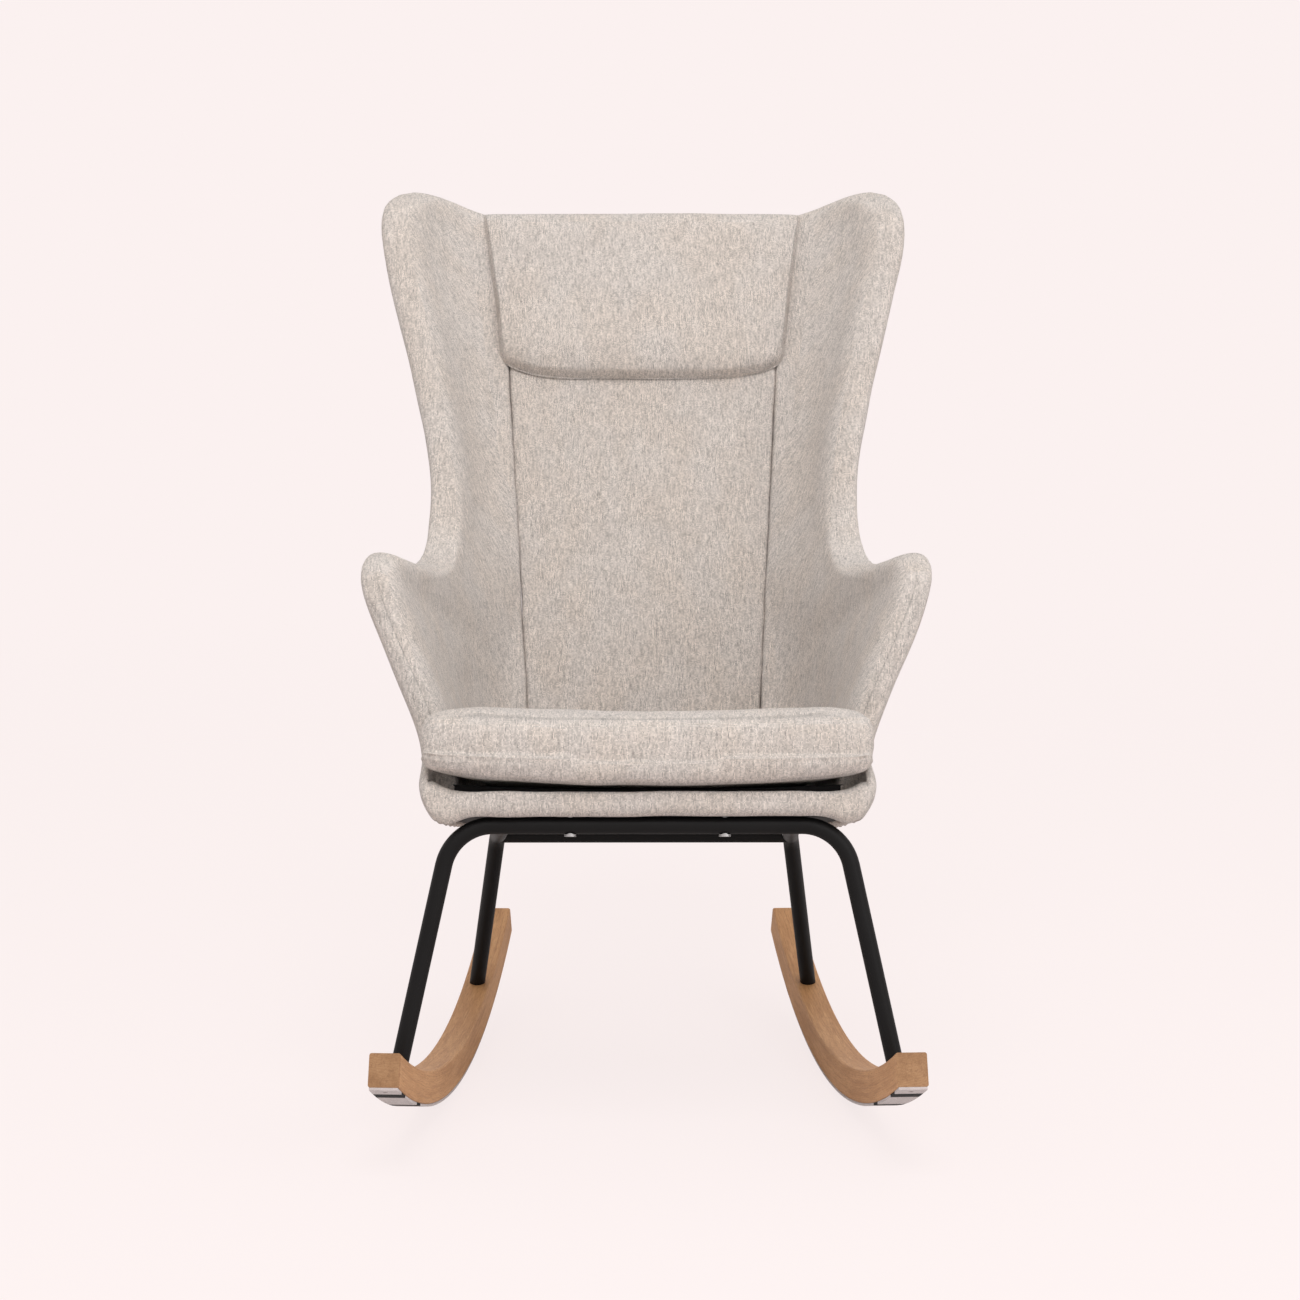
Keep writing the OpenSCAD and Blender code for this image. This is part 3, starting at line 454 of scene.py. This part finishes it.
def ease(piece, height, size, seed):
    """The slight unevenness of cloth over foam."""
    shift = Vector((seed * 1.7, seed * 3.1, seed * 0.9))
    mesh = piece.data
    normals = [v.normal.copy() for v in mesh.vertices]
    for v, n in zip(mesh.vertices, normals):
        v.co += n * height * noise.noise(v.co / size + shift)
    mesh.update()
    return piece


def dressed(piece, body, *stood_for, slot="woven", fill=1.0):
    """Finish, body, slot and the nodes that a soft piece stands for."""
    piece.data.materials.clear()
    piece.data.materials.append(finishes[slot])
    alone(piece)
    bpy.ops.object.shade_smooth_by_angle(angle=math.radians(50))
    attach(piece, body)
    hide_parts(*stood_for)
    return piece


def remeshed(piece, size, rounds=0):
    """Even, all-over faces of about one size, with the steps of the remesh smoothed away."""
    applied(piece, "REMESH", mode="VOXEL", voxel_size=size)
    if rounds:
        applied(piece, "SMOOTH", factor=0.5, iterations=rounds)
    return piece


def stuffed(piece, push, reach):
    """Swells a closed cover with a filling, as cloth under pressure. reach gives how far a point may
    move, from its place and its direction outwards."""
    start = [v.co.copy() for v in piece.data.vertices]
    outwards = [v.normal.copy() for v in piece.data.vertices]
    alone(piece)
    cloth = piece.modifiers.new("filling", "CLOTH")
    settings = cloth.settings
    settings.quality, settings.mass = 6, 0.3
    settings.tension_stiffness = settings.compression_stiffness = 12
    settings.shear_stiffness, settings.bending_stiffness = 5, 1.5
    settings.use_pressure, settings.uniform_pressure_force = True, push
    settings.effector_weights.gravity = 0
    cloth.collision_settings.use_collision = False
    last = 20
    cloth.point_cache.frame_start, cloth.point_cache.frame_end = 1, last
    for number in range(1, last + 1):
        bpy.context.scene.frame_set(number)
    bpy.ops.object.modifier_apply(modifier=cloth.name)
    bpy.context.scene.frame_set(1)
    for v, place, out in zip(piece.data.vertices, start, outwards):
        move = v.co - place
        most = reach(place, out)
        if move.length > most:
            v.co = place + move * (most / move.length)
    piece.data.update()
    return piece


# ---------------------------------------------------------------- shell panels

SHARP = 50           # an edge that turns by more degrees than this is a seam
PANEL_SIZE = 0.0034  # the panels' faces after the remesh
WING_START = 0.64    # the height at which an arm turns into a wing


def skin(name, size, rounds, *names):
    """One skin round copies of CAD nodes, for cloth that runs on over their joint. Also gives the
    points of the first one's seams."""
    copies = [refined_copy(node, name) for node in names]
    for copy in copies:
        applied(copy, "SUBSURF", levels=1, render_levels=1)
    points = edge_points(copies[0], SHARP)
    alone(copies[0])
    for copy in copies[1:]:
        copy.select_set(True)
    bpy.ops.object.join()
    return remeshed(copies[0], size, rounds), points


def seam_strength(point):
    """Clear along the back panel and the front of the arms, and hardly there round the wings."""
    if abs(point.x) < ARM_EDGE:
        return 0.55
    return 0.08 + 0.92 * min(1.0, max(0.0, (WING_START - point.z) / 0.05))


def arm_seam(point, place):
    """On the front of an arm the stitches run beside its edge, on the sitter's side."""
    on_front = point.y < -0.1 and abs(point.x) > ARM_EDGE
    return 0.011 if on_front and abs(place.x) < abs(point.x) else 0.0


def shell():
    for number, side in enumerate(("left", "right")):
        pair = ("inner_side_" + side, "outer_side_" + side)
        panel, points = skin("side_cover_" + side, PANEL_SIZE, 7, *pair)
        applied(panel, "DISPLACE", strength=0.0007, mid_level=0.0)
        sew(panel, points, dip=0.0011, narrow=0.0032, soft=0.0008,
            strength=seam_strength, inboard=arm_seam)
        ease(panel, 0.0014, 0.07, number + 1)
        lay_cloth(panel)
        dressed(panel, "chair", *pair)
    back, points = skin("back_cover", PANEL_SIZE, 7, "inner_back", "outer_back")
    applied(back, "DISPLACE", strength=0.0007, mid_level=0.0)
    sew(back, points, dip=0.0009, narrow=0.0035, soft=0.0010, strength=seam_strength)
    ease(back, 0.0014, 0.07, 3)
    lay_cloth(back)
    dressed(back, "chair", "inner_back", "outer_back")

    pillow = refined_copy("headrest_pillow", "headrest_cover")
    applied(pillow, "SUBSURF", levels=2, render_levels=2)
    for v in pillow.data.vertices:
        v.co.x *= 1.085
    sew(pillow, edge_points(pillow, SHARP), dip=0.0005, soft=0.0008)
    ease(pillow, 0.0014, 0.06, 5)
    lay_cloth(pillow)
    dressed(pillow, "chair", "headrest_pillow")

    border = remeshed(refined_copy("front_border", "front_border_cover"), 0.003, 12)
    applied(border, "DISPLACE", strength=0.0026, mid_level=0.0)
    low = min(v.co.z for v in border.data.vertices)
    top_starts, dip_at, dip_half = 0.335, 0.218, 0.018
    for v in border.data.vertices:
        v.co.x *= 1.03
        v.co.y += 0.009 * max(0.0, 1 - (v.co.z - low) / 0.020) ** 2
        top = max(0.0, (v.co.z - top_starts) / 0.03)
        v.co.z -= 0.009 * math.exp(-((abs(v.co.x) - dip_at) / dip_half) ** 2) * min(1.0, top)
    sew(border, [])
    ease(border, 0.0016, 0.05, 8)
    lay_cloth(border)
    dressed(border, "chair", "front_border")

    # The deck's black dust cloth is real. Widened past the side pads, its black is also painted shade: it
    # stands in for the deep shadow in the wedge between the cushion's nose and the plinth.
    deck_and_wedge_shade = refined_copy("deck_pad", "deck_cover_and_wedge_shade")
    applied(deck_and_wedge_shade, "SUBSURF", levels=2, render_levels=2)
    # Widened by 7 % so that the black reaches into the shaded wedge as painted shade.
    for v in deck_and_wedge_shade.data.vertices:
        v.co.x *= 1.07
    sew(deck_and_wedge_shade, edge_points(deck_and_wedge_shade, SHARP))
    lay_cloth(deck_and_wedge_shade)
    dressed(deck_and_wedge_shade, "chair", "deck_pad", slot="dust_cloth")


shell()

# ---------------------------------------------------------------- seat cushion

SLOPE = math.radians(5.2 + LEAN)  # the seat's slope in the frame, and the chair's lean with it
ABOVE_SEAT = Vector((0, math.sin(SLOPE), math.cos(SLOPE)))
ALONG_SEAT = Vector((0, math.cos(SLOPE), -math.sin(SLOPE)))
NOSE_HALF = 0.2465                # half of the nose's width
NOSE_LIFT_LEFT, NOSE_LIFT_RIGHT = 0.012, 0.006
UPPER_SEAM, LOWER_SEAM = 0.80, -0.96  # how far the cloth faces up where it is sewn


def seat_cushion():
    cushion = refined_copy("seat_cushion", "seat_cushion_cover")
    bottom = min(v.co.dot(ABOVE_SEAT) for v in cushion.data.vertices)
    front = min(v.co.dot(ALONG_SEAT) for v in cushion.data.vertices)
    remeshed(cushion, 0.006, 3)

    def reach(place, out):
        under = out.dot(ABOVE_SEAT) < -0.3
        beside = abs(out.x) > 0.6 and place.dot(ALONG_SEAT) > front + 0.10
        return 0.001 if under or beside or out.y > 0.6 else 0.008

    stuffed(cushion, 4.0, reach)
    applied(cushion, "SUBSURF", levels=1, render_levels=1)
    for v in cushion.data.vertices:
        ahead, high = v.co.dot(ALONG_SEAT) - front, v.co.dot(ABOVE_SEAT) - bottom
        near = max(0.0, 1 - max(0.0, ahead) / 0.12) * max(0.0, 1 - max(0.0, high) / 0.06)
        end = max(0.0, (abs(v.co.x) - 0.07) / 0.17)
        lift = NOSE_LIFT_LEFT if v.co.x < 0 else NOSE_LIFT_RIGHT
        v.co += ABOVE_SEAT * near * min(1.0, end) ** 1.5 * lift
    mesh = cushion.data
    widen = NOSE_HALF / max(abs(v.co.x) for v in mesh.vertices) - 1
    normals = [v.normal.copy() for v in mesh.vertices]
    for v, n in zip(mesh.vertices, normals):
        ahead = v.co.dot(ALONG_SEAT) - front
        nose = min(1.0, max(0.0, (0.125 - ahead) / 0.04))
        v.co.x *= 1 + widen * nose
        level = n.dot(ABOVE_SEAT)
        flat = Vector((n.x, n.y, 0))
        if flat.length > 0.02:
            high = min(1.0, abs(level))
            fuller = (1 - high ** 4) ** 0.25 - (1 - high ** 2) ** 0.5
            room = 0.024 if level > 0 else 0.013
            v.co += flat / max(flat.length, 0.4) * fuller * room * nose * min(1.0, flat.length * 3)
    # The seam map along the welts: the cloth dips in there, and the woven finish darkens it as painted
    # shade.
    away = mesh.attributes.new("seam", "FLOAT", "POINT")
    roundness = 0.020
    for v in mesh.vertices:
        edge = v.normal.dot(ABOVE_SEAT)
        upper, lower = abs(edge - UPPER_SEAM) * roundness, abs(edge - LOWER_SEAM) * roundness
        away.data[v.index].value = min(upper, lower, 0.05)
    normals = [v.normal.copy() for v in mesh.vertices]
    for v, n in zip(mesh.vertices, normals):
        gap = away.data[v.index].value
        v.co -= n * 0.0011 * math.exp(-(gap / 0.0035) ** 2)
    ease(cushion, 0.0016, 0.06, 11)
    lay_cloth(cushion)
    return dressed(cushion, "cushion", "seat_cushion", fill=0.8)


seat_cushion()

# ---------------------------------------------------------------- steel and oak

for thing in nodes.values():
    if not thing.hide_render:
        for face in thing.data.polygons:
            face.use_smooth = True
        edges = thing.modifiers.new("soft edges", "EDGE_SPLIT")
        edges.split_angle = math.radians(32)

# ---------------------------------------------------------------- floor, light and camera

BACKDROP = (0.965, 0.880, 0.871)


def stage_floor():
    bpy.ops.object.select_all(action="DESELECT")
    bpy.ops.mesh.primitive_circle_add(vertices=96, radius=6.0, fill_type="NGON", location=(0, 0, 0))
    floor = bpy.context.object
    floor.name = "floor"
    f = Finish("studio_floor")
    tree = f.tree
    x, y, _ = f.place()
    far = (x * x + y * y) ** 0.5
    diffuse = f.node("ShaderNodeBsdfDiffuse", {}, (0.72, 0.66, 0.65))
    glow = f.node("ShaderNodeEmission", {}, BACKDROP, 1.03)
    path = tree.nodes.new("ShaderNodeLightPath")
    seen = Socket(f, path.outputs["Is Camera Ray"])
    lit = f.node("ShaderNodeMixShader", {}, seen * 0.86, diffuse, glow)
    clear = f.node("ShaderNodeBsdfTransparent", {})
    whole = f.node("ShaderNodeMixShader", {}, far.over(1.6, 4.5), lit, clear)
    tree.links.new(whole.out, f.output.inputs[0])
    tree.nodes.remove(f.surface)
    floor.data.materials.append(f.material)


def studio_world():
    world = bpy.data.worlds.new("studio")
    bpy.context.scene.world = world
    world.use_nodes = True
    tree = world.node_tree
    tree.nodes.clear()
    path = tree.nodes.new("ShaderNodeLightPath")
    shown = tree.nodes.new("ShaderNodeBackground")
    shown.inputs[0].default_value = (*BACKDROP, 1)
    shown.inputs[1].default_value = 1.0
    light = tree.nodes.new("ShaderNodeBackground")
    light.inputs[0].default_value = (1.0, 0.985, 0.975, 1)
    light.inputs[1].default_value = 0.83
    either = tree.nodes.new("ShaderNodeMath")
    either.operation = "MAXIMUM"
    tree.links.new(path.outputs["Is Camera Ray"], either.inputs[0])
    tree.links.new(path.outputs["Is Glossy Ray"], either.inputs[1])
    mix = tree.nodes.new("ShaderNodeMixShader")
    out = tree.nodes.new("ShaderNodeOutputWorld")
    tree.links.new(either.outputs[0], mix.inputs[0])
    tree.links.new(light.outputs[0], mix.inputs[1])
    tree.links.new(shown.outputs[0], mix.inputs[2])
    tree.links.new(mix.outputs[0], out.inputs[0])


def softbox(name, place, aim, size, power):
    data = bpy.data.lights.new(name, "AREA")
    data.shape, data.size, data.size_y, data.energy = "RECTANGLE", size[0], size[1], power
    lamp = bpy.data.objects.new(name, data)
    bpy.context.scene.collection.objects.link(lamp)
    lamp.location = place
    lamp.rotation_mode = "QUATERNION"
    lamp.rotation_quaternion = (Vector(aim) - Vector(place)).to_track_quat("-Z", "Y")
    lamp.visible_camera = False
    lamp.visible_glossy = True


def front_camera():
    data = bpy.data.cameras.new("camera")
    data.lens, data.sensor_width = 101.9, 36.0
    data.shift_y = -0.0385
    data.clip_start, data.clip_end = 0.1, 60
    camera = bpy.data.objects.new("camera", data)
    bpy.context.scene.collection.objects.link(camera)
    swing = Matrix.Rotation(math.radians(-0.64), 4, "Z")
    tilt = Matrix.Rotation(math.radians(-LEAN), 4, "X")
    level = Matrix.Rotation(math.radians(90), 4, "X")
    camera.matrix_world = Matrix.Translation((-0.042, -4.256, 1.129)) @ tilt @ swing @ level
    bpy.context.scene.camera = camera


stage_floor()
studio_world()
softbox("key light", (2.5, -2.6, 1.7), (0, 0, 0.5), (2.0, 1.8), 30)
softbox("high light", (0, -3.0, 4.4), (0, 0, 0.6), (2.5, 2.5), 139)
front_camera()

bpy.context.scene.view_settings.view_transform = "Standard"
